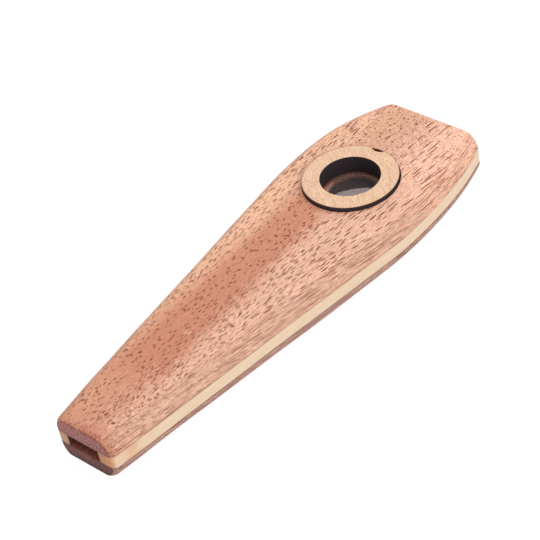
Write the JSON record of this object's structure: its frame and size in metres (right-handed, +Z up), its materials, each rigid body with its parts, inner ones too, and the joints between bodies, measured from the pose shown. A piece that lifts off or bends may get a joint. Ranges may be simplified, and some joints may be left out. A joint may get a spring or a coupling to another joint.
{
  "type": "kazoo",
  "caption": "Flat laminated wooden kazoo with a tapered, rounded body, an air channel from end to end and a membrane held in a stepped seat by a lift-out ring.",
  "frame": {"origin": "on the underside, at the centre of the whole kazoo's length and width", "axes": "+X across the width, +Y from the mouth end to the wide end, +Z up from the underside to the ring"},
  "size_m": [0.0402, 0.123, 0.0124],
  "materials": {
    "bottom_mahogany": "satin",
    "core_maple": "satin",
    "top_mahogany": "satin",
    "membrane_film": "clear gloss",
    "ring_maple": "matt, with charred cut edges"
  },
  "bodies": {
    "laminated_body": {"bottom_plate": "bottom_mahogany", "left_rail": "core_maple", "right_rail": "core_maple", "top_plate": "top_mahogany"},
    "membrane": {"membrane": "membrane_film"},
    "membrane_ring": {"membrane_ring": "ring_maple"}
  },
  "joints": [
    {"name": "ring_lift", "type": "slide", "parent": "laminated_body", "child": "membrane_ring", "axis": [0, 0, 1], "range_m": [0, 0.012]},
    {"name": "membrane_lift", "type": "slide", "parent": "laminated_body", "child": "membrane", "axis": [0, 0, 1], "range_m": [0, 0.006]}
  ],
  "couplings": [
    {"joint": "membrane_lift", "follows": "ring_lift", "ratio": 0.5}
  ]
}
